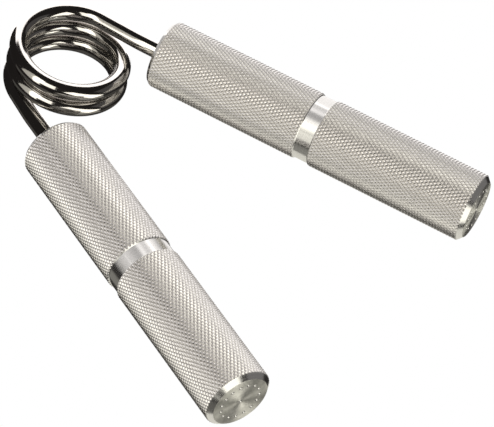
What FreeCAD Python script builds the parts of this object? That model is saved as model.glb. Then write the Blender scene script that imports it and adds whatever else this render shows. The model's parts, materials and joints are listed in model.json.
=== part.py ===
import FreeCAD, Part

import math
import os

import Sketcher

# A hand grip strengthener: one torsion spring of thick round wire, whose two legs are
# seated in the bores of two aluminium handles. Millimetres and degrees.
#
# Frame: the part lies as it does when it is put down on a table, with +Z up. The origin is
# the middle of the coil, on the coil's axis, and +X runs midway between the handles towards
# their free ends. One leg leaves the top of the coil and the other its underside, so the
# part rests on the whole length of the left handle and on the free end of the right one,
# and the coil's axis leans a little from +Z.

doc = FreeCAD.newDocument("hand_grip")
Vector = FreeCAD.Vector
Rotation = FreeCAD.Rotation
Placement = FreeCAD.Placement

FULL_TURN = 360.0
HALF_TURN = FULL_TURN / 2
QUARTER_TURN = FULL_TURN / 4

# How often the search for the resting pose halves its range
HALVINGS = 60

# Driving dimensions

SIZES = [
    # Handles, turned from round bar, with a smooth sunk band between two knurled lengths
    ("handle_length", 110.6),
    ("handle_dia", 22.0),
    ("shoulder_chamfer_length", 1.25),
    ("shoulder_chamfer_depth", 1.0),
    ("foot_chamfer_length", 1.65),
    ("foot_chamfer_depth", 1.75),
    ("band_start", 51.8),
    ("band_width", 5.8),
    ("band_depth", 0.5),
    ("band_shoulder", 0.5),
    # Blind bore that holds the spring's leg
    ("bore_depth", 48.0),
    ("drill_point_angle", 118.0),
    ("mouth_chamfer", 0.4),
    ("leg_clearance", 0.05),
    # Spring
    ("wire_dia", 5.5),
    ("coil_mean_dia", 33.2),
    ("coil_pitch", 6.35),
    ("whole_turns", 2),
    ("leg_end_gap", 2.0),
    # Legs: the straight run off the coil, the bend, and the reach from it to the handle
    ("right_leg_run", 15.1),
    ("left_leg_run", 9.8),
    ("right_leg_reach", 7.4),
    ("left_leg_reach", 14.1),
    ("right_leg_turn_angle", 5.7),
    ("left_leg_turn_angle", 2.2),
    ("leg_bend_radius", 45.0),
    # How the handles stand to the coil
    ("handle_opening_angle", 29.8),
    ("handle_rise_angle", 1.0),
]

sheet = doc.addObject("Spreadsheet::Sheet", "sizes")
for row, (name, value) in enumerate(SIZES, start=1):
    sheet.set("A%d" % row, name)
    sheet.set("B%d" % row, str(value))
    sheet.setAlias("B%d" % row, name)
doc.recompute()


def size(name):
    """A driving dimension, read back from the sheet."""
    return float(sheet.get(name))


# The coil, in its own frame: its axis is +Z, and +X runs midway between the handles. Seen
# from above, the wire comes in from the right handle at the top of the coil, winds down
# anticlockwise and leaves the underside for the left handle.

coil_radius = size("coil_mean_dia") / 2
wire_radius = size("wire_dia") / 2
handle_radius = size("handle_dia") / 2
leg_opening = size("handle_opening_angle") - size("right_leg_turn_angle") + size("left_leg_turn_angle")
coil_sweep = FULL_TURN * size("whole_turns") + HALF_TURN - leg_opening
coil_drop = size("coil_pitch") * coil_sweep / FULL_TURN
coil_start = size("handle_opening_angle") / 2 - size("right_leg_turn_angle") + QUARTER_TURN
coil_slope = math.degrees(math.atan2(size("coil_pitch"), 2 * math.pi * coil_radius))


def direction(azimuth, elevation):
    """Unit vector at an azimuth round the coil's axis and an elevation above its plane."""
    level = math.cos(math.radians(elevation))
    return Vector(
        level * math.cos(math.radians(azimuth)),
        level * math.sin(math.radians(azimuth)),
        math.sin(math.radians(elevation)),
    )


def coil_point(wound):
    """Centre of the wire where it has wound through an angle from the coil's top end."""
    angle = math.radians(coil_start + wound)
    height = coil_drop / 2 - size("coil_pitch") * wound / FULL_TURN
    return Vector(coil_radius * math.cos(angle), coil_radius * math.sin(angle), height)


def coil_tangent(wound):
    """Direction in which the wire winds on at that angle."""
    return direction(coil_start + wound + QUARTER_TURN, -coil_slope)


def bend(start, corner, end):
    """Arc from start to end that leaves and meets the lines to the corner smoothly."""
    to_start = (start - corner).normalize()
    to_end = (end - corner).normalize()
    half_turn = (math.pi - to_start.getAngle(to_end)) / 2
    radius = start.distanceToPoint(corner) / math.tan(half_turn)
    middle = corner + (to_start + to_end).normalize() * (radius / math.cos(half_turn) - radius)
    return Part.Arc(start, middle, end)


def biarc(start, leaving, end, arriving):
    """Two arcs that join two points of the coil and keep its direction at both."""
    chord = end - start
    tangents = leaving + arriving
    spread = 2 * (1 - leaving.dot(arriving))
    along = chord.dot(tangents)
    reach = (math.sqrt(along**2 + spread * chord.dot(chord)) - along) / spread
    first_corner = start + leaving * reach
    second_corner = end - arriving * reach
    middle = (first_corner + second_corner) * 0.5
    return [bend(start, first_corner, middle), bend(middle, second_corner, end)]


def coil_arcs():
    """The coil's centreline, a pair of arcs for each half turn or less."""
    stretches = math.ceil(coil_sweep / HALF_TURN)
    step = coil_sweep / stretches
    arcs = []
    for stretch in range(stretches):
        here = stretch * step
        there = here + step
        arcs += biarc(
            coil_point(here), coil_tangent(here), coil_point(there), coil_tangent(there)
        )
    return arcs


class Leg:
    """A leg of the spring, and the line of the handle that sits on it."""

    def __init__(self, start, leaving, handle_axis, run, reach):
        corner = start + leaving * run
        cut = size("leg_bend_radius") * math.tan(leaving.getAngle(handle_axis) / 2)
        self.start = start
        self.axis = handle_axis
        self.bend_start = corner - leaving * cut
        self.corner = corner
        self.bend_end = corner + handle_axis * cut
        self.mouth = corner + handle_axis * reach
        self.end = self.mouth + handle_axis * (size("bore_depth") - size("leg_end_gap"))

    def path(self):
        """Straight, bend and straight, from the coil to the leg's end in the bore."""
        return [
            Part.LineSegment(self.start, self.bend_start),
            bend(self.bend_start, self.corner, self.bend_end),
            Part.LineSegment(self.bend_end, self.end),
        ]

    def foot(self, short_of_end=0.0):
        """Point on the handle's axis at its free end, or short of it."""
        return self.mouth + self.axis * (size("handle_length") - short_of_end)


right_leg = Leg(
    coil_point(0),
    coil_tangent(0) * -1,
    direction(size("handle_opening_angle") / 2, size("handle_rise_angle")),
    size("right_leg_run"),
    size("right_leg_reach"),
)
left_leg = Leg(
    coil_point(coil_sweep),
    coil_tangent(coil_sweep),
    direction(-size("handle_opening_angle") / 2, -size("handle_rise_angle")),
    size("left_leg_run"),
    size("left_leg_reach"),
)


# How the part lies on a table: tipped about the left handle, which lies on it from end to
# end, until the rim at the right handle's foot touches it too.


def table_normal(tip):
    """Upward normal, in the coil's frame, of a table that lies along the left handle."""
    level_normal = Vector(0, 0, 1) - left_leg.axis * left_leg.axis.z
    return Rotation(left_leg.axis, tip).multVec(level_normal.normalize())


def right_foot_height(tip):
    """How far the right handle's lowest point is above that table."""
    normal = table_normal(tip)
    rim = right_leg.foot(size("foot_chamfer_length"))
    rim_dip = handle_radius * math.sqrt(1 - normal.dot(right_leg.axis) ** 2)
    return (rim - left_leg.mouth).dot(normal) - rim_dip + handle_radius


def resting_tip():
    """Angle of that table, found by halving, at which both handles touch it."""
    level = 0.0
    steep = QUARTER_TURN
    for _ in range(HALVINGS):
        middle = (level + steep) / 2
        if right_foot_height(middle) > 0:
            level = middle
        else:
            steep = middle
    return (level + steep) / 2


table_up = table_normal(resting_tip())
table_ahead = (Vector(1, 0, 0) - table_up * table_up.x).normalize()
table_across = table_up.cross(table_ahead)
lying = Placement(Vector(), Rotation(table_ahead, table_across, table_up, "ZXY")).inverse()


# Spring


def make_spring():
    """One unbroken wire: right leg, coil and left leg, swept with a round section."""
    right_path = Part.Wire([curve.toShape() for curve in right_leg.path()])
    coil_path = Part.Wire([curve.toShape() for curve in coil_arcs()])
    left_path = Part.Wire([curve.toShape() for curve in left_leg.path()])
    edges = []
    for stretch in (right_path, coil_path, left_path):
        edges += stretch.Edges
    centreline = Part.Wire(Part.__sortEdges__(edges))
    section = Part.Wire(Part.makeCircle(wire_radius, right_leg.end, right_leg.axis))
    spring = doc.addObject("Part::Feature", "torsion_spring")
    spring.Shape = centreline.makePipeShell([section], True, False)
    spring.Placement = lying
    return spring, centreline


# Handles


def turned_profile(body, name, corners):
    """Closed half profile on the handle's axis; each corner is a pair of expressions."""
    sketch = body.newObject("Sketcher::SketchObject", name)
    plane = [f for f in body.Origin.OriginFeatures if f.Role == "XY_Plane"][0]
    sketch.AttachmentSupport = [(plane, "")]
    sketch.MapMode = "FlatFace"
    count = len(corners)
    rough = [Vector(i * handle_radius, (1 + i % 2) * handle_radius, 0) for i in range(count)]
    for i in range(count):
        sketch.addGeometry(Part.LineSegment(rough[i], rough[(i + 1) % count]))
    for i in range(count):
        sketch.addConstraint(Sketcher.Constraint("Coincident", i, 2, (i + 1) % count, 1))
    for i, (along, out) in enumerate(corners):
        for kind, expression in (("DistanceX", along), ("DistanceY", out)):
            place = getattr(rough[i], "x" if kind == "DistanceX" else "y")
            index = sketch.addConstraint(Sketcher.Constraint(kind, -1, 1, i, 1, place))
            sketch.setExpression("Constraints[%d]" % index, expression)
    return sketch


def turn(body, kind, name, sketch):
    """Revolve a profile, or cut its groove, right round the handle's axis."""
    feature = body.newObject(kind, name)
    feature.Profile = sketch
    feature.ReferenceAxis = (sketch, ["H_Axis"])
    feature.Angle = FULL_TURN


def make_handle(name, leg):
    """Turned handle with its band and bore; its axis is the body's X, its foot far out."""
    body = doc.addObject("PartDesign::Body", name)
    rim = "sizes.handle_dia / 2"
    bar = turned_profile(
        body,
        name + "_bar_profile",
        [
            ("0", "0"),
            ("0", rim + " - sizes.shoulder_chamfer_depth"),
            ("sizes.shoulder_chamfer_length", rim),
            ("sizes.handle_length - sizes.foot_chamfer_length", rim),
            ("sizes.handle_length", rim + " - sizes.foot_chamfer_depth"),
            ("sizes.handle_length", "0"),
        ],
    )
    turn(body, "PartDesign::Revolution", name + "_bar", bar)
    band_end = "sizes.band_start + sizes.band_width"
    band = turned_profile(
        body,
        name + "_band_profile",
        [
            ("sizes.band_start", rim),
            ("sizes.band_start + sizes.band_shoulder", rim + " - sizes.band_depth"),
            (band_end + " - sizes.band_shoulder", rim + " - sizes.band_depth"),
            (band_end, rim),
            (band_end, rim + " + sizes.band_depth"),
            ("sizes.band_start", rim + " + sizes.band_depth"),
        ],
    )
    turn(body, "PartDesign::Groove", name + "_band", band)
    wall = "(sizes.wire_dia / 2 + sizes.leg_clearance)"
    point = wall + " / tan(sizes.drill_point_angle / 2 * 1 deg)"
    bore = turned_profile(
        body,
        name + "_bore_profile",
        [
            ("0", "0"),
            ("0", wall + " + sizes.mouth_chamfer"),
            ("sizes.mouth_chamfer", wall),
            ("sizes.bore_depth", wall),
            ("sizes.bore_depth + " + point, "0"),
        ],
    )
    turn(body, "PartDesign::Groove", name + "_bore", bore)
    stand = Placement(leg.mouth, Rotation(Vector(1, 0, 0), leg.axis))
    body.Placement = lying.multiply(stand)
    return body


def turned_volume(corners):
    """Volume that a closed profile sweeps about its own X axis."""
    total = 0.0
    for (x0, r0), (x1, r1) in zip(corners, corners[1:]):
        total += math.pi * (x1 - x0) * (r0**2 + r0 * r1 + r1**2) / 3
    return total


def expected_handle_volume():
    """Volume of a handle from its sizes, to compare with the model."""
    shoulder = handle_radius - size("shoulder_chamfer_depth")
    foot = handle_radius - size("foot_chamfer_depth")
    band = handle_radius - size("band_depth")
    band_end = size("band_start") + size("band_width")
    wall = wire_radius + size("leg_clearance")
    point = wall / math.tan(math.radians(size("drill_point_angle") / 2))
    bar = [
        (0, shoulder),
        (size("shoulder_chamfer_length"), handle_radius),
        (size("band_start"), handle_radius),
        (size("band_start") + size("band_shoulder"), band),
        (band_end - size("band_shoulder"), band),
        (band_end, handle_radius),
        (size("handle_length") - size("foot_chamfer_length"), handle_radius),
        (size("handle_length"), foot),
    ]
    bore = [
        (0, wall + size("mouth_chamfer")),
        (size("mouth_chamfer"), wall),
        (size("bore_depth"), wall),
        (size("bore_depth") + point, 0),
    ]
    return turned_volume(bar) - turned_volume(bore)


def least_gap(path):
    """Least space between stretches of the wire that are over half a turn apart."""
    spacing = wire_radius / 4
    points = path.discretize(Distance=spacing)
    apart = int(math.pi * coil_radius / spacing)
    least = min(
        here.distanceToPoint(there)
        for i, here in enumerate(points)
        for there in points[i + apart :]
    )
    return least - size("wire_dia")


spring, centreline = make_spring()
right_handle = make_handle("right_handle", right_leg)
left_handle = make_handle("left_handle", left_leg)
subparts = [spring, left_handle, right_handle]
doc.recompute()

# Checks, then one file for each sub-part

for item in doc.Objects:
    if "Invalid" in item.State or "Error" in item.State:
        raise RuntimeError("%s did not build: %s" % (item.Name, item.State))
for item in subparts:
    item.Label = item.Name
    if item.Shape.isNull() or not item.Shape.isValid() or len(item.Shape.Solids) != 1:
        raise RuntimeError("%s is not one valid solid" % item.Name)

wire_volume = math.pi * wire_radius**2 * centreline.Length
print("wire volume %.1f, expected %.1f" % (spring.Shape.Volume, wire_volume))
print("handle volume %.1f, expected %.1f" % (left_handle.Shape.Volume, expected_handle_volume()))
print("turns %.3f, wire length %.1f mm" % (coil_sweep / FULL_TURN, centreline.Length))
print("least gap of the wire to itself %.3f mm" % least_gap(centreline))
print("coil's axis leans %.2f degrees" % math.degrees(table_up.getAngle(Vector(0, 0, 1))))

os.makedirs("parts", exist_ok=True)
for item in subparts:
    item.Shape.exportStep("parts/%s.step" % item.Label)
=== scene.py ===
import json
import math

import bmesh
import bpy
import numpy as np
from mathutils import Matrix, Quaternion, Vector


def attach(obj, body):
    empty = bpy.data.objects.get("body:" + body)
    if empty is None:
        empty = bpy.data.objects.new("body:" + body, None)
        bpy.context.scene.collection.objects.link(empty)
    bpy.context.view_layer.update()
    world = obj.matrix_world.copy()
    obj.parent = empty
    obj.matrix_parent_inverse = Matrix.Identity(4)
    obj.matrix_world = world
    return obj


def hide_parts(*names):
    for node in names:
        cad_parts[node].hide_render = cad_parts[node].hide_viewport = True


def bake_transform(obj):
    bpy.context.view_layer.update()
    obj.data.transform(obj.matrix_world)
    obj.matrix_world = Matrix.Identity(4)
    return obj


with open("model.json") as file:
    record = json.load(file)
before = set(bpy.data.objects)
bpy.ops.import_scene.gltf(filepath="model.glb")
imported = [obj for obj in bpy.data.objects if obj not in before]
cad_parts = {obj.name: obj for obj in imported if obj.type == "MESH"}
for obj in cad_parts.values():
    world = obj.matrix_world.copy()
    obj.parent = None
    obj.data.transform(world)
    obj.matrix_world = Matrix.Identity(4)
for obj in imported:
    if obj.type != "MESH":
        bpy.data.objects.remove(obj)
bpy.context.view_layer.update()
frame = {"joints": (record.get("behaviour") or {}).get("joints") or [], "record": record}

# A hand grip strengthener: two knurled aluminium handles on the legs of one dark, polished
# torsion spring. Lengths are written in millimetres and angles in degrees, as in the part's
# source. They are turned into metres where a mesh, a light or the camera is made.

MM = 0.001

# Sizes of the spring, which repeat the part's source

WIRE_RADIUS = 2.75
COIL_RADIUS = 16.6
COIL_PITCH = 6.35
WHOLE_TURNS = 2
HANDLE_OPENING = 29.8
HANDLE_RISE = 1.0
RIGHT_LEG_TURN = 5.7
LEFT_LEG_TURN = 2.2
RIGHT_LEG_RUN = 15.1
LEFT_LEG_RUN = 9.8
RIGHT_LEG_REACH = 7.4
LEFT_LEG_REACH = 14.1
LEG_BEND_RADIUS = 45.0
LEG_IN_BORE = 46.0

# How finely the wire is meshed, and the shares of a leg's first run that get a ring

COIL_STEPS = 350
BEND_STEPS = 8
WIRE_SIDES = 56
RUN_SHARES = (0.25, 0.6)

# Sizes of a handle, which repeat the part's source. A chamfer is given by its length along
# the handle and its depth.

HANDLE_LENGTH = 110.6
HANDLE_RADIUS = 11.0
SHOULDER_CHAMFER = (1.25, 1.0)
FOOT_CHAMFER = (1.65, 1.75)
BAND_START = 51.8
BAND_WIDTH = 5.8
BAND_DEPTH = 0.5
BORE_RADIUS = 2.8
BORE_DEPTH = 48.0
DRILL_POINT = 118.0
MOUTH_CHAMFER = 0.4
TURNED_SIDES = 288

# The knurl: two sets of V grooves that cross at about 30 degrees either side of the axis.
# Each set has the same number of grooves round the bar, and its own number along a millimetre
# of it. The flat top of a diamond takes a share of the pitch, and its corners are worn a little.
# The grooves are cut past both ends, and the surplus is turned off. They are counted at this
# many samples along the bar, and the grain adds its share to the height that tints the metal:
# grooves darker as painted shade, and tops lighter as wear.

KNURL_GROOVES_ROUND = 57
KNURL_GROOVES_ALONG = (0.507, 0.480)
KNURL_DEPTH = 0.36
KNURL_TOP_SHARE = 0.22
KNURL_WEAR = 0.02
KNURL_WEAR_SEED = 11
KNURL_OVERRUN = 5.0
KNURL_SAMPLES = 4000
KNURL_HEIGHT_LAYER = "knurl_height"
KNURL_GRAIN_SHARE = 0.3

# Where the two sets start on the inner and on the outer length of each handle, as shares of
# the pitch
KNURL_STARTS = {
    "left_handle": ((0.09, 0.78), (0.99, 0.78)),
    "right_handle": ((0.35, 0.95), (0.54, 0.01)),
}

# The marks punched in an end face: small balls sunk into it

DIMPLE_COUNT = 15
DIMPLE_RING_RADIUS = 6.6
DIMPLE_RADIUS = 0.65
DIMPLE_DEPTH = 0.32
DIMPLE_SIDES = 24

# How far the turned outline stands clear of the knurl, how near to a surface a vertex counts
# as on it, and the angle from which an edge is shown sharp

CLEAR_OF_KNURL = 0.3
TOUCHING = 0.004
SHARP_EDGE = 22.0


# Materials: a texture's scale is given per metre


def new_material(name):
    """A material, a function that adds a node and sets its values, and one that links nodes."""
    material = bpy.data.materials.new(name)
    material.use_nodes = True
    tree = material.node_tree

    def add(kind, **values):
        node = tree.nodes.new(kind)
        for key, value in values.items():
            if hasattr(node, key):
                setattr(node, key, value)
            else:
                node.inputs[key.replace("_", " ")].default_value = value
        return node

    return material, add, tree.links.new


def shader_inputs(material):
    """The inputs of a material's own shader."""
    return material.node_tree.nodes["Principled BSDF"].inputs


def set_ramp(node, stops):
    """Sets a colour ramp's stops from pairs of place and colour."""
    elements = node.color_ramp.elements
    while len(elements) < len(stops):
        elements.new(0.5)
    for element, (place, colour) in zip(elements, stops):
        element.position = place
        element.color = (*colour, 1.0)


def finish_metal(
    material, add, link, colour_by, colours, roughness_by, roughness, relief_by, relief
):
    """Lets a metal's colour, roughness and relief each follow one texture's value.

    Roughness is given for the values 0 and 1, and relief by its strength and its depth.
    """
    inputs = shader_inputs(material)
    tint = add("ShaderNodeValToRGB")
    set_ramp(tint, colours)
    link(colour_by, tint.inputs["Fac"])
    link(tint.outputs["Color"], inputs["Base Color"])
    polish = add("ShaderNodeMapRange", To_Min=roughness[0], To_Max=roughness[1])
    link(roughness_by, polish.inputs["Value"])
    link(polish.outputs["Result"], inputs["Roughness"])
    bump = add("ShaderNodeBump", Strength=relief[0], Distance=relief[1] * MM)
    link(relief_by, bump.inputs["Height"])
    link(bump.outputs["Normal"], inputs["Normal"])
    inputs["Metallic"].default_value = 1.0


def steel_material():
    """Dark plated spring steel, polished: a little haze, and faint ripples."""
    material, add, link = new_material("spring_steel_polished")
    place = add("ShaderNodeTexCoord")
    haze = add("ShaderNodeTexNoise", Scale=160.0, Detail=4.0)
    link(place.outputs["Object"], haze.inputs["Vector"])
    ripple = add("ShaderNodeTexNoise", Scale=420.0, Detail=3.0)
    link(place.outputs["Object"], ripple.inputs["Vector"])
    finish_metal(
        material,
        add,
        link,
        colour_by=haze.outputs["Fac"],
        colours=[(0.3, (0.45, 0.43, 0.41)), (0.7, (0.52, 0.50, 0.48))],
        roughness_by=haze.outputs["Fac"],
        roughness=(0.07, 0.13),
        relief_by=ripple.outputs["Fac"],
        relief=(0.025, 0.2),
    )
    return material


def knurl_material():
    """Rolled aluminium: bright worn tops, and grooves painted greyer as shade."""
    material, add, link = new_material("aluminium_knurled")
    place = add("ShaderNodeTexCoord")
    height = add("ShaderNodeAttribute", attribute_name=KNURL_HEIGHT_LAYER)
    grain = add("ShaderNodeTexNoise", Scale=2400.0, Detail=3.0)
    link(place.outputs["Object"], grain.inputs["Vector"])
    # Painted shade: the height darkens the tint down in the grooves, and the worn tops are lighter.
    groove_shade_and_wear = add("ShaderNodeMath", operation="MULTIPLY_ADD")
    link(grain.outputs["Fac"], groove_shade_and_wear.inputs[0])
    groove_shade_and_wear.inputs[1].default_value = KNURL_GRAIN_SHARE
    link(height.outputs["Fac"], groove_shade_and_wear.inputs[2])
    finish_metal(
        material,
        add,
        link,
        colour_by=groove_shade_and_wear.outputs["Value"],
        colours=[
            (0.14, (0.45, 0.43, 0.415)),
            (0.36, (0.76, 0.74, 0.72)),
            (0.9, (0.95, 0.925, 0.90)),
        ],
        roughness_by=groove_shade_and_wear.outputs["Value"],
        roughness=(0.36, 0.22),
        relief_by=grain.outputs["Fac"],
        relief=(0.15, 0.05),
    )
    return material


def polished_material():
    """Aluminium turned and polished bright, with faint rings left by the lathe."""
    material, add, link = new_material("aluminium_polished")
    place = add("ShaderNodeTexCoord")
    stretch = add("ShaderNodeMapping", Scale=(60.0, 60.0, 5200.0))
    link(place.outputs["Object"], stretch.inputs["Vector"])
    rings = add("ShaderNodeTexNoise", Scale=1.0, Detail=2.0)
    link(stretch.outputs["Vector"], rings.inputs["Vector"])
    finish_metal(
        material,
        add,
        link,
        colour_by=rings.outputs["Fac"],
        colours=[(0.3, (0.80, 0.79, 0.77)), (0.7, (0.88, 0.87, 0.85))],
        roughness_by=rings.outputs["Fac"],
        roughness=(0.15, 0.25),
        relief_by=rings.outputs["Fac"],
        relief=(0.06, 0.04),
    )
    return material


def faced_material():
    """Aluminium faced on the lathe: fine rings round the axis spread light outwards in a streak."""
    material, add, link = new_material("aluminium_faced")
    place = add("ShaderNodeTexCoord")
    flat = add("ShaderNodeVectorMath", operation="MULTIPLY")
    flat.inputs[1].default_value = (1.0, 1.0, 0.0)
    link(place.outputs["Object"], flat.inputs[0])
    radius = add("ShaderNodeVectorMath", operation="LENGTH")
    link(flat.outputs["Vector"], radius.inputs[0])
    rings = add("ShaderNodeTexNoise", noise_dimensions="1D", Scale=7000.0, Detail=2.0)
    link(radius.outputs["Value"], rings.inputs["W"])
    cloud = add("ShaderNodeTexNoise", Scale=420.0, Detail=4.0)
    link(place.outputs["Object"], cloud.inputs["Vector"])
    round_axis = add("ShaderNodeTangent", direction_type="RADIAL", axis="Z")
    inputs = shader_inputs(material)
    link(round_axis.outputs["Tangent"], inputs["Tangent"])
    inputs["Anisotropic"].default_value = 0.9
    inputs["Anisotropic Rotation"].default_value = 0.25
    finish_metal(
        material,
        add,
        link,
        colour_by=cloud.outputs["Fac"],
        colours=[(0.32, (0.60, 0.595, 0.555)), (0.68, (0.82, 0.81, 0.765))],
        roughness_by=rings.outputs["Fac"],
        roughness=(0.50, 0.66),
        relief_by=rings.outputs["Fac"],
        relief=(0.20, 0.05),
    )
    return material


# Meshes, circles and directions


def finish_mesh(shape, name, materials):
    """An object that holds the shape's mesh, in the scene."""
    mesh = bpy.data.meshes.new(name)
    shape.to_mesh(mesh)
    shape.free()
    for material in materials:
        mesh.materials.append(material)
    made = bpy.data.objects.new(name, mesh)
    bpy.context.scene.collection.objects.link(made)
    return made


def circle(radius, count, z):
    """Points spread evenly round the Z axis."""
    angles = [2 * math.pi * k / count for k in range(count)]
    return [(radius * math.cos(angle), radius * math.sin(angle), z) for angle in angles]


def direction(azimuth, elevation):
    """Unit vector at an azimuth counted from +X towards +Y, and an elevation above the plane."""
    level = math.cos(math.radians(elevation))
    return Vector((
        level * math.cos(math.radians(azimuth)),
        level * math.sin(math.radians(azimuth)),
        math.sin(math.radians(elevation)),
    ))


# Spring: the wire's centreline, in the coil's frame, whose Z is the coil's axis

LEG_OPENING = HANDLE_OPENING - RIGHT_LEG_TURN + LEFT_LEG_TURN
COIL_SWEEP = 360 * WHOLE_TURNS + 180 - LEG_OPENING
COIL_DROP = COIL_PITCH * COIL_SWEEP / 360
COIL_START = HANDLE_OPENING / 2 - RIGHT_LEG_TURN + 90
COIL_SLOPE = math.degrees(math.atan2(COIL_PITCH, 2 * math.pi * COIL_RADIUS))


def coil_point(wound):
    """Centre of the wire where it has wound through an angle from the coil's top end."""
    level = direction(COIL_START + wound, 0) * COIL_RADIUS
    return level + Vector((0, 0, COIL_DROP / 2 - COIL_PITCH * wound / 360))


def leg_points(start, leaving, handle_axis, run, reach):
    """The leg's centreline from the coil into the bore: a run, an arc and a run."""
    corner = start + leaving * run
    turn = leaving.angle(handle_axis)
    setback = LEG_BEND_RADIUS * math.tan(turn / 2)
    across = (handle_axis - leaving * leaving.dot(handle_axis)).normalized()
    bend_start = corner - leaving * setback
    points = [start.lerp(bend_start, share) for share in RUN_SHARES]
    for step in range(BEND_STEPS + 1):
        angle = turn * step / BEND_STEPS
        ahead = leaving * math.sin(angle)
        aside = across * (1 - math.cos(angle))
        points.append(bend_start + (ahead + aside) * LEG_BEND_RADIUS)
    points.append(corner + handle_axis * reach)
    points.append(corner + handle_axis * (reach + LEG_IN_BORE))
    return points


def wire_centreline():
    """Right leg from its end in the bore, coil from top to underside, then left leg."""
    coil = [coil_point(COIL_SWEEP * step / COIL_STEPS) for step in range(COIL_STEPS + 1)]
    right = leg_points(
        coil[0],
        direction(COIL_START - 90, COIL_SLOPE),
        direction(HANDLE_OPENING / 2, HANDLE_RISE),
        RIGHT_LEG_RUN,
        RIGHT_LEG_REACH,
    )
    left = leg_points(
        coil[-1],
        direction(COIL_START + COIL_SWEEP + 90, -COIL_SLOPE),
        direction(-HANDLE_OPENING / 2, -HANDLE_RISE),
        LEFT_LEG_RUN,
        LEFT_LEG_REACH,
    )
    return right[::-1] + coil + left


def coil_frame():
    """The coil's frame in the shared frame, from the joint, which turns about the coil's axis."""
    up = -Vector(frame["joints"][0]["axis"]).normalized()
    ahead = Vector((1, 0, -up.x / up.z)).normalized()
    across = up.cross(ahead)
    return Matrix((ahead, across, up)).transposed().to_4x4()


def make_spring(material):
    """One round wire swept along the centreline."""
    from_coil = coil_frame()
    line = [from_coil @ point for point in wire_centreline()]
    coil_axis = from_coil.to_3x3() @ Vector((0, 0, 1))
    shape = bmesh.new()
    rings = []
    for i, point in enumerate(line):
        ahead = (line[min(i + 1, len(line) - 1)] - line[max(i - 1, 0)]).normalized()
        up = (coil_axis - ahead * ahead.dot(coil_axis)).normalized()
        side = ahead.cross(up)
        ring = []
        for k in range(WIRE_SIDES):
            angle = 2 * math.pi * k / WIRE_SIDES
            out = up * math.cos(angle) + side * math.sin(angle)
            ring.append(shape.verts.new((point + out * WIRE_RADIUS) * MM))
        rings.append(ring)
    for here, there in zip(rings, rings[1:]):
        for k in range(WIRE_SIDES):
            after = (k + 1) % WIRE_SIDES
            shape.faces.new((here[k], there[k], there[after], here[after])).smooth = True
    shape.faces.new(rings[0])
    shape.faces.new(rings[-1][::-1])
    bmesh.ops.recalc_face_normals(shape, faces=shape.faces)
    spring = finish_mesh(shape, "polished_spring", [material])
    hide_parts("torsion_spring")
    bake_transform(spring)
    return spring


# Handles, each made about its own Z axis, with the spring's end at zero


def knurl_places(inner_starts, outer_starts):
    """A function from two groove numbers to a place along and round the bar, and their sum's span.

    Under the band, each set shifts by the shorter way from the one start to the other.
    """
    first, second = KNURL_GROOVES_ALONG
    along = np.linspace(-KNURL_OVERRUN, HANDLE_LENGTH + KNURL_OVERRUN, KNURL_SAMPLES)
    step = np.clip((along - BAND_START) / BAND_WIDTH, 0, 1)
    shift = []
    for inner, outer in zip(inner_starts, outer_starts):
        nearest = inner + (outer - inner + 0.5) % 1 - 0.5
        shift.append(inner + (nearest - inner) * step)
    both = (first + second) * along + shift[0] + shift[1]

    def place(p, q):
        z = np.interp(p + q, both, along)
        start = np.interp(z, along, shift[0])
        angle = 2 * math.pi / KNURL_GROOVES_ROUND * (p - start - first * z)
        return z, angle

    return place, both[0], both[-1]


def close_end(shape, edge, z):
    """Joins a closed edge of vertices to a point on the axis."""
    tip = shape.verts.new((0, 0, z))
    for here, there in zip(edge, edge[1:] + edge[:1]):
        shape.faces.new((tip, here, there))


def make_knurled_bar(name, starts):
    """A closed bar with crossed V grooves that leave flat-topped diamonds between them."""
    place, low, high = knurl_places(*starts)
    first_row = math.ceil(low + 1)
    rows = math.floor(high - 1) - first_row
    count = KNURL_GROOVES_ROUND
    draws = np.random.default_rng(KNURL_WEAR_SEED)
    groove_radius = HANDLE_RADIUS - KNURL_DEPTH
    shape = bmesh.new()

    def vertex(p, q, radius):
        z, angle = place(p, q)
        return shape.verts.new((radius * math.cos(angle), radius * math.sin(angle), z))

    crossings = []
    for row in range(rows + 1):
        total = first_row + row
        crossings.append([vertex(i, total - i, groove_radius) for i in range(count)])
    half_top = KNURL_TOP_SHARE / 2
    corners = ((-1, -1), (1, -1), (1, 1), (-1, 1))
    for row in range(rows - 1):
        total = first_row + row
        for i in range(count):
            base = (
                crossings[row][i],
                crossings[row + 1][(i + 1) % count],
                crossings[row + 2][(i + 1) % count],
                crossings[row + 1][i],
            )
            wear = KNURL_WEAR * draws.random(4)
            j = total - i
            top = [
                vertex(i + 0.5 + a * half_top, j + 0.5 + b * half_top, HANDLE_RADIUS - wear[k])
                for k, (a, b) in enumerate(corners)
            ]
            shape.faces.new(top)
            for k in range(4):
                after = (k + 1) % 4
                shape.faces.new((base[k], base[after], top[after], top[k]))
    first_edge = []
    last_edge = []
    for i in range(count):
        first_edge += [crossings[0][i], crossings[1][(i + 1) % count]]
        last_edge += [crossings[-1][i], crossings[-2][i]]
    close_end(shape, first_edge, -KNURL_OVERRUN)
    close_end(shape, last_edge, HANDLE_LENGTH + KNURL_OVERRUN)
    bmesh.ops.recalc_face_normals(shape, faces=shape.faces)
    return finish_mesh(shape, name + "_knurl", [])


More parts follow.
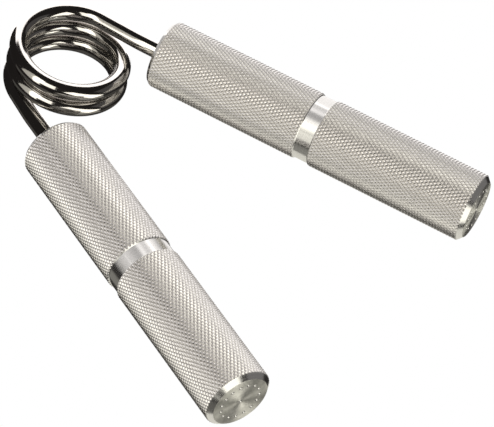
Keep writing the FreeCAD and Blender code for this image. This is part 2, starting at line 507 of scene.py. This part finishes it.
def turned_outline():
    """Radius along the handle outside, clear of the knurl where that is left as rolled."""
    clear = HANDLE_RADIUS + CLEAR_OF_KNURL
    shoulder_long, shoulder_deep = SHOULDER_CHAMFER
    foot_long, foot_deep = FOOT_CHAMFER
    foot_start = HANDLE_LENGTH - foot_long
    band_end = BAND_START + BAND_WIDTH
    return [
        (0.0, HANDLE_RADIUS - shoulder_deep),
        (shoulder_long * (1 + CLEAR_OF_KNURL / shoulder_deep), clear),
        (BAND_START - CLEAR_OF_KNURL, clear),
        (BAND_START + BAND_DEPTH, HANDLE_RADIUS - BAND_DEPTH),
        (band_end - BAND_DEPTH, HANDLE_RADIUS - BAND_DEPTH),
        (band_end + CLEAR_OF_KNURL, clear),
        (foot_start - foot_long * CLEAR_OF_KNURL / foot_deep, clear),
        (HANDLE_LENGTH, HANDLE_RADIUS - foot_deep),
    ]


def bore_outline():
    """The blind bore for the leg, from its drill point out to its mouth."""
    point = BORE_RADIUS / math.tan(math.radians(DRILL_POINT / 2))
    return [
        (BORE_DEPTH + point, 0.0),
        (BORE_DEPTH, BORE_RADIUS),
        (MOUTH_CHAMFER, BORE_RADIUS),
        (0.0, BORE_RADIUS + MOUTH_CHAMFER),
    ]


def make_turned_body(name):
    """The handle as turned on a lathe, to cut the knurled bar to length and shape."""
    outline = bore_outline() + turned_outline() + [(HANDLE_LENGTH, 0.0)]
    shape = bmesh.new()
    rings = []
    for z, radius in outline:
        if radius == 0:
            rings.append([shape.verts.new((0, 0, z))] * TURNED_SIDES)
        else:
            rings.append([shape.verts.new(point) for point in circle(radius, TURNED_SIDES, z)])
    for here, there in zip(rings, rings[1:]):
        for k in range(TURNED_SIDES):
            after = (k + 1) % TURNED_SIDES
            corners = dict.fromkeys((here[k], here[after], there[after], there[k]))
            shape.faces.new(list(corners))
    bmesh.ops.recalc_face_normals(shape, faces=shape.faces)
    return finish_mesh(shape, name + "_turned", [])


def make_dimples(name):
    """Punch marks for the end face: an even ring, and the lathe's centre mark."""
    shape = bmesh.new()
    z = HANDLE_LENGTH + DIMPLE_RADIUS - DIMPLE_DEPTH
    for place in [(0, 0, z)] + circle(DIMPLE_RING_RADIUS, DIMPLE_COUNT, z):
        bmesh.ops.create_uvsphere(
            shape,
            u_segments=DIMPLE_SIDES,
            v_segments=DIMPLE_SIDES,
            radius=DIMPLE_RADIUS,
            matrix=Matrix.Translation(place),
        )
    return finish_mesh(shape, name + "_dimples", [])


def cut(target, tool, operation):
    """Applies a boolean of two closed meshes to the first, and removes the second."""
    modifier = target.modifiers.new("cut", "BOOLEAN")
    modifier.operation = operation
    modifier.solver = "MANIFOLD"
    modifier.object = tool
    evaluated = target.evaluated_get(bpy.context.evaluated_depsgraph_get())
    mesh = bpy.data.meshes.new_from_object(evaluated)
    target.modifiers.remove(modifier)
    target.data = mesh
    bpy.data.objects.remove(tool)


# Places of a handle's three materials in its list
KNURLED, POLISHED, FACED = range(3)


def dress_handle(mesh):
    """Material and shading of each face, by where it lies on the turned outline."""
    count = len(mesh.vertices)
    points = np.zeros(count * 3)
    mesh.vertices.foreach_get("co", points)
    points = points.reshape(-1, 3)
    along = points[:, 2]
    out = np.hypot(points[:, 0], points[:, 1])
    # The height from groove to top also tints the knurl, with painted shade in the grooves.
    height = (out - HANDLE_RADIUS + KNURL_DEPTH) / KNURL_DEPTH
    attribute = mesh.attributes.new(KNURL_HEIGHT_LAYER, "FLOAT", "POINT")
    attribute.data.foreach_set("value", np.clip(height, 0, 1).astype(np.float32))
    zs, radii = zip(*turned_outline())
    turned = np.abs(np.interp(along, zs, radii) - out) < TOUCHING
    inside = out < BORE_RADIUS + MOUTH_CHAMFER + TOUCHING
    punched = out < DIMPLE_RING_RADIUS + DIMPLE_RADIUS
    punched &= along > HANDLE_LENGTH - DIMPLE_DEPTH - TOUCHING
    ends = (along < TOUCHING) | (along > HANDLE_LENGTH - TOUCHING)
    for face in mesh.polygons:
        corners = list(face.vertices)
        if all(ends[corners]):
            face.material_index = FACED
        elif all(turned[corners]) or all(inside[corners]) or all(punched[corners]):
            face.material_index = POLISHED
        else:
            face.material_index = KNURLED
    mesh.shade_smooth()
    mesh.set_sharp_from_angle(angle=math.radians(SHARP_EDGE))


def make_handle(name, body, foot_mount, materials):
    """Knurled bar cut to the turned shape, marked, dressed and set on its leg."""
    handle = make_knurled_bar(name, KNURL_STARTS[name])
    cut(handle, make_turned_body(name), "INTERSECT")
    cut(handle, make_dimples(name), "DIFFERENCE")
    handle.data.materials.clear()
    for material in materials:
        handle.data.materials.append(material)
    dress_handle(handle.data)
    handle.data.transform(Matrix.Scale(MM, 4))
    handle.name = name + "_knurled"
    axis = Vector(foot_mount["axis"]).normalized()
    mouth = Vector(foot_mount["pos_m"]) - axis * HANDLE_LENGTH * MM
    up = (Vector((0, 0, 1)) - axis * axis.z).normalized()
    stand = Matrix((up, axis.cross(up), axis)).transposed().to_4x4()
    handle.matrix_world = Matrix.Translation(mouth) @ stand
    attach(handle, body)
    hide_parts(name)
    return handle


# Stage: a white floor and background that only the camera sees, and soft panels round the
# part in a room that is dark to all else. Here azimuth 0 is towards -Y and 90 towards +X.

FLOOR_HALF_WIDTH = 3000.0
FLOOR_HEIGHT = -15.384
LIGHT_DISTANCE = 1000.0
WHITE = (1.0, 1.0, 1.0)
DARK = (0.022, 0.020, 0.019)
CREAM = (1.0, 0.98, 0.885)
COOL = (1.0, 0.975, 0.965)
PANELS = {
    "back": dict(azimuth=-136, elevation=0, roll=0, wide=60, high=88, colour=COOL),
    "front": dict(azimuth=15, elevation=44, roll=0, wide=28, high=38, colour=CREAM),
    "left": dict(azimuth=-17, elevation=34, roll=-15, wide=34, high=62, colour=CREAM),
    "right": dict(azimuth=80, elevation=4, roll=25, wide=38, high=64, colour=CREAM),
    "left_core": dict(azimuth=-7, elevation=36, roll=0, wide=15, high=68, colour=CREAM),
    "right_core": dict(azimuth=77, elevation=3, roll=30, wide=30, high=70, colour=CREAM),
    "right_skirt": dict(azimuth=82, elevation=-38, roll=0, wide=36, high=34, colour=CREAM),
    "low": dict(azimuth=-25, elevation=-42, roll=0, wide=60, high=34, colour=CREAM),
    "low_right": dict(azimuth=40, elevation=-34, roll=0, wide=60, high=40, colour=CREAM),
    "far": dict(azimuth=140, elevation=5, roll=0, wide=60, high=60, colour=COOL),
    "under": dict(azimuth=90, elevation=-78, roll=0, wide=70, high=70, colour=CREAM),
    "front_low": dict(azimuth=20, elevation=12, roll=0, wide=44, high=30, colour=CREAM),
    "side": dict(azimuth=-96, elevation=18, roll=0, wide=36, high=44, colour=COOL),
    "side_front": dict(azimuth=-60, elevation=20, roll=0, wide=34, high=44, colour=COOL),
    "top": dict(azimuth=0, elevation=90, roll=0, wide=50, high=50, colour=COOL),
    "left_high": dict(azimuth=-30, elevation=60, roll=0, wide=40, high=40, colour=COOL),
    "front_high": dict(azimuth=32, elevation=62, roll=0, wide=40, high=34, colour=CREAM),
    "right_high": dict(azimuth=90, elevation=50, roll=0, wide=50, high=44, colour=CREAM),
    "far_high": dict(azimuth=150, elevation=50, roll=0, wide=50, high=44, colour=COOL),
    "back_high": dict(azimuth=-155, elevation=55, roll=0, wide=40, high=40, colour=COOL),
    "mid_high": dict(azimuth=60, elevation=64, roll=0, wide=34, high=30, colour=CREAM),
    "side_high": dict(azimuth=-85, elevation=55, roll=0, wide=44, high=40, colour=COOL),
    "front_right": dict(azimuth=48, elevation=28, roll=0, wide=34, high=34, colour=CREAM),
}

# How bright each panel is on the dark polished spring, and on the handles, which take a
# softer and more even light
SPRING_LIGHTS = dict(
    back=2.4, front=2.3, left=0.72, left_core=2.1, right_core=2.6, right_skirt=0.4, far=0.08,
    under=0.06, low=0.09,
)
HANDLE_LIGHTS = dict(
    back=1.07, front=0.63, left=0.84, right=1.37, far=0.15, under=0.7, front_low=0.87, low=0.19,
    side=0.47, side_front=0.67, top=0.37, left_high=0.46, front_high=0.2, right_high=0.39,
    far_high=0.35, back_high=0.67, mid_high=0.49, side_high=0.36, front_right=0.15, low_right=0.09,
)


def towards(azimuth, elevation):
    """Unit vector from the part to a light or to the camera."""
    return direction(azimuth - 90, elevation)


def make_floor():
    """Plain white floor, level with the lowest point of the part, that only the camera sees."""
    shape = bmesh.new()
    bmesh.ops.create_grid(shape, size=FLOOR_HALF_WIDTH * MM)
    material = bpy.data.materials.new("white_floor")
    material.use_nodes = True
    tree = material.node_tree
    tree.nodes.clear()
    white = tree.nodes.new("ShaderNodeEmission")
    output = tree.nodes.new("ShaderNodeOutputMaterial")
    tree.links.new(white.outputs["Emission"], output.inputs["Surface"])
    floor = finish_mesh(shape, "floor", [material])
    floor.location.z = FLOOR_HEIGHT * MM
    floor.visible_diffuse = False
    floor.visible_glossy = False
    floor.visible_shadow = False


def make_world():
    """White to the camera, and a dark room to everything else."""
    world = bpy.data.worlds.new("studio")
    bpy.context.scene.world = world
    world.use_nodes = True
    tree = world.node_tree
    tree.nodes.clear()
    link = tree.links.new
    white = tree.nodes.new("ShaderNodeBackground")
    white.inputs["Color"].default_value = (*WHITE, 1.0)
    dark = tree.nodes.new("ShaderNodeBackground")
    dark.inputs["Color"].default_value = (*DARK, 1.0)
    path = tree.nodes.new("ShaderNodeLightPath")
    mix = tree.nodes.new("ShaderNodeMixShader")
    link(path.outputs["Is Camera Ray"], mix.inputs["Fac"])
    link(dark.outputs["Background"], mix.inputs[1])
    link(white.outputs["Background"], mix.inputs[2])
    output = tree.nodes.new("ShaderNodeOutputWorld")
    link(mix.outputs["Shader"], output.inputs["Surface"])


def make_light(name, radiance, receivers, azimuth, elevation, roll, wide, high, colour):
    """A flat panel, as many degrees wide and high as the part sees it, that lights one group."""
    data = bpy.data.lights.new(name, "AREA")
    data.shape = "RECTANGLE"
    data.size = 2 * LIGHT_DISTANCE * MM * math.tan(math.radians(wide / 2))
    data.size_y = 2 * LIGHT_DISTANCE * MM * math.tan(math.radians(high / 2))
    data.energy = radiance * math.pi * data.size * data.size_y
    data.color = colour
    light = bpy.data.objects.new(name, data)
    bpy.context.scene.collection.objects.link(light)
    place = towards(azimuth, elevation)
    light.location = place * LIGHT_DISTANCE * MM
    light.rotation_mode = "QUATERNION"
    turned = Quaternion((0, 0, 1), math.radians(roll))
    light.rotation_quaternion = place.to_track_quat("Z", "Y") @ turned
    light.visible_camera = False
    light.light_linking.receiver_collection = receivers


# Camera, as it stood in the photograph

CAMERA_AIM = (80.22, -2.95, 0.0)
CAMERA_AZIMUTH = 41.996
CAMERA_ELEVATION = 51.951
CAMERA_ROLL = 2.518
CAMERA_DISTANCE = 1105.24
CAMERA_LENS = 266.686
CAMERA_SENSOR = 36.0
CAMERA_NEAR = 50.0
CAMERA_FAR = 20000.0


def make_camera():
    """Looks down at the part from the front right of its handles."""
    data = bpy.data.cameras.new("camera")
    data.sensor_width = CAMERA_SENSOR
    data.lens = CAMERA_LENS
    data.clip_start = CAMERA_NEAR * MM
    data.clip_end = CAMERA_FAR * MM
    camera = bpy.data.objects.new("camera", data)
    bpy.context.scene.collection.objects.link(camera)
    bpy.context.scene.camera = camera
    back = towards(CAMERA_AZIMUTH, CAMERA_ELEVATION)
    level = back.to_track_quat("Z", "Y").to_matrix()
    roll = Matrix.Rotation(math.radians(CAMERA_ROLL), 3, "Z")
    stand = (level @ roll).to_4x4()
    stand.translation = (Vector(CAMERA_AIM) + back * CAMERA_DISTANCE) * MM
    camera.matrix_world = stand


# The whole scene

steel = steel_material()
aluminium = [knurl_material(), polished_material(), faced_material()]
mounts = {mount["name"]: mount for mount in frame["record"]["mounts"]}
spring_group = bpy.data.collections.new("spring")
spring_group.objects.link(make_spring(steel))
handle_group = bpy.data.collections.new("handles")
for handle_name, body_name, mount_name in (
    ("left_handle", "left_side", "left_foot_face"),
    ("right_handle", "right_side", "right_foot_face"),
):
    handle_group.objects.link(make_handle(handle_name, body_name, mounts[mount_name], aluminium))
make_floor()
make_world()
for group, panels in ((spring_group, SPRING_LIGHTS), (handle_group, HANDLE_LIGHTS)):
    for panel_name, panel_radiance in panels.items():
        light_name = group.name + "_" + panel_name
        make_light(light_name, panel_radiance, group, **PANELS[panel_name])
make_camera()
bpy.context.scene.view_settings.view_transform = "Standard"
